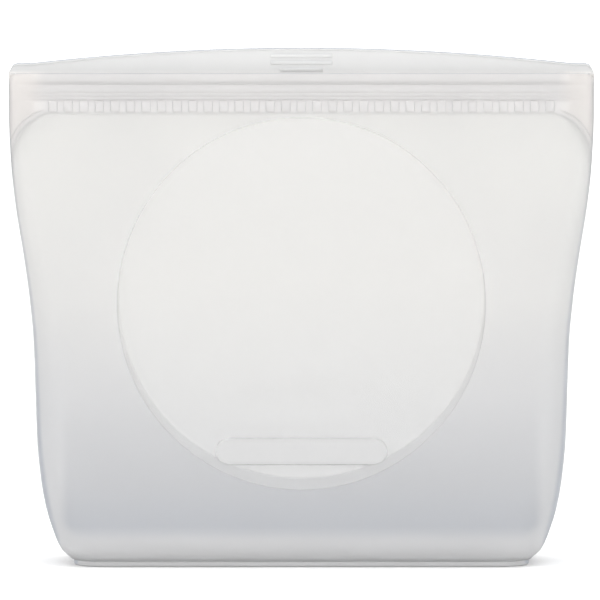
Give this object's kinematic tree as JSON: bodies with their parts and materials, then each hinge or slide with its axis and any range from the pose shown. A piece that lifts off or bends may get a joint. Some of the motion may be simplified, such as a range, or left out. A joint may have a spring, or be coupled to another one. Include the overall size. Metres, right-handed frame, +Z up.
{
  "type": "reusable silicone storage bag",
  "caption": "Stand-up frosted silicone food bag with a flat base, leaning walls, round clear windows, a press-shut zip between solid ears and an arched pull flap.",
  "frame": {"origin": "middle of the footprint, on the surface that the bag stands on", "axes": "+X along the zip, +Y towards the back with the pull flap, +Z up"},
  "size_m": [0.2104, 0.056, 0.1848],
  "materials": {
    "frosted_silicone": "translucent frosted white silicone, satin",
    "window_silicone": "clear polished silicone",
    "label_silicone": "plain raised bar, matt frosted silicone"
  },
  "bodies": {
    "pouch": {"base_plate": "frosted_silicone", "bottom_tray": "frosted_silicone", "left_side_wall": "frosted_silicone", "right_side_wall": "frosted_silicone", "left_ear": "frosted_silicone", "right_ear": "frosted_silicone"},
    "front_wall": {"front_panel": "frosted_silicone", "front_window": "window_silicone", "label_bar": "label_silicone", "front_zip_band": "frosted_silicone", "front_zip_channel": "frosted_silicone", "front_pinch_row": "frosted_silicone", "front_lip": "frosted_silicone"},
    "back_wall": {"back_panel": "frosted_silicone", "back_window": "window_silicone", "back_zip_band": "frosted_silicone", "back_zip_tongues": "frosted_silicone", "left_flap_wing": "frosted_silicone", "right_flap_wing": "frosted_silicone"},
    "pull_flap": {"pull_tab": "frosted_silicone", "tab_edge_bead": "frosted_silicone", "flap_grip_ribs": "frosted_silicone"}
  },
  "joints": [
    {"name": "front_open", "type": "hinge", "parent": "pouch", "child": "front_wall", "pos_m": [0, -0.0267, 0.024], "axis": [1, 0, 0], "range_deg": [0, 12], "stiffness_Nm_per_rad": 0.05},
    {"name": "back_open", "type": "hinge", "parent": "pouch", "child": "back_wall", "pos_m": [0, 0.0267, 0.024], "axis": [-1, 0, 0], "range_deg": [0, 12], "stiffness_Nm_per_rad": 0.05},
    {"name": "flap_bend", "type": "hinge", "parent": "back_wall", "child": "pull_flap", "pos_m": [0, 0.00255, 0.17639], "axis": [-1, 0, 0], "range_deg": [-20, 75], "stiffness_Nm_per_rad": 0.002}
  ]
}
